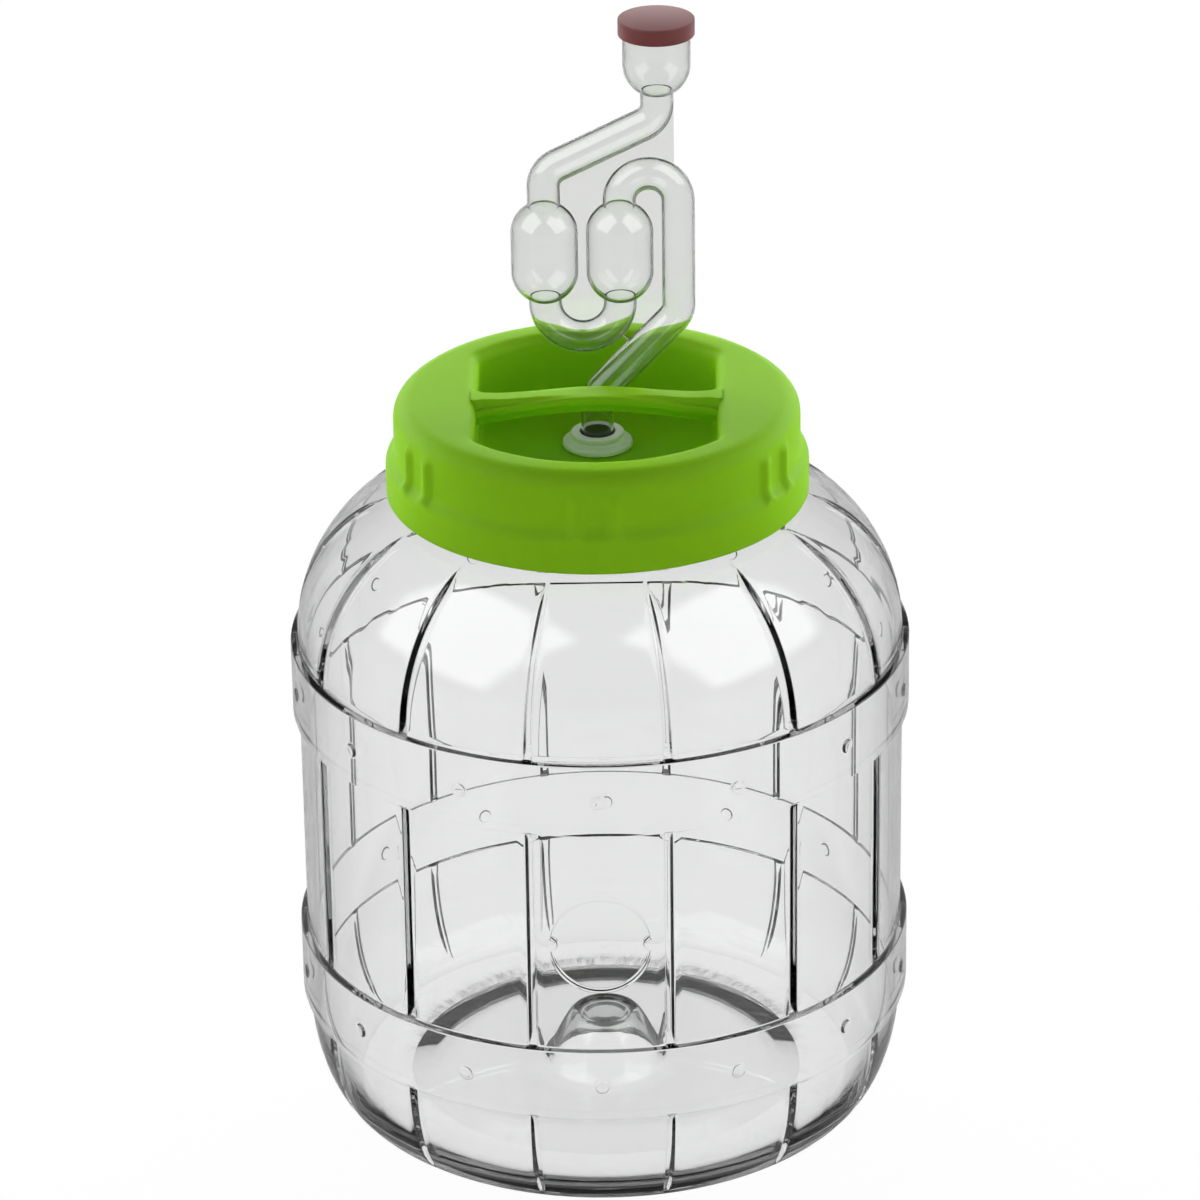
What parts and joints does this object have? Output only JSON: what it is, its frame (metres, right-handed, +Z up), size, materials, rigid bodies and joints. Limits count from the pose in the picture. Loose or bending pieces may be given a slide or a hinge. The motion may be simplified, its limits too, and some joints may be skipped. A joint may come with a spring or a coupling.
{
  "type": "fermentation jar",
  "caption": "Clear barrel-shaped fermentation jar with moulded staves and hoops, green screw lid with a sunk carrying handle, and a bent-tube airlock in a grommet.",
  "frame": {"origin": "middle of the foot ring, on the surface that the jar stands on", "axes": "+Z up along the jar's axis, -Y is the front, where a stave is centred; the handle lies along X and the stem of the airlock stands behind it"},
  "size_m": [0.1876, 0.1888, 0.3447],
  "materials": {
    "jar_body": "clear, smooth blow-moulded",
    "lid": "satin injection-moulded",
    "lid_gasket": "smooth, soft",
    "grommet": "milky, soft",
    "airlock": "clear, smooth moulded",
    "airlock_cap": "matt moulded"
  },
  "bodies": {
    "jar": {"jar_body": "jar_body"},
    "seal": {"lid_gasket": "lid_gasket"},
    "lid": {"lid": "lid"},
    "grommet": {"grommet": "grommet"},
    "airlock": {"airlock": "airlock"},
    "cap": {"airlock_cap": "airlock_cap"}
  },
  "joints": [
    {"name": "lid_lift", "type": "slide", "parent": "jar", "child": "seal", "axis": [0, 0, 1], "range_m": [0, 0.07]},
    {"name": "lid_turn", "type": "hinge", "parent": "seal", "child": "lid", "pos_m": [0, 0, 0.2308], "axis": [0, 0, 1], "range_deg": [0, 360]},
    {"name": "airlock_turn", "type": "hinge", "parent": "lid", "child": "grommet", "pos_m": [0, 0.01245, 0.2089], "axis": [0, 0, 1], "range_deg": [-10, 190]},
    {"name": "airlock_pull", "type": "slide", "parent": "grommet", "child": "airlock", "axis": [0, 0, 1], "range_m": [0, 0.04]},
    {"name": "cap_pull", "type": "slide", "parent": "airlock", "child": "cap", "axis": [0, 0, 1], "range_m": [0, 0.02]}
  ]
}
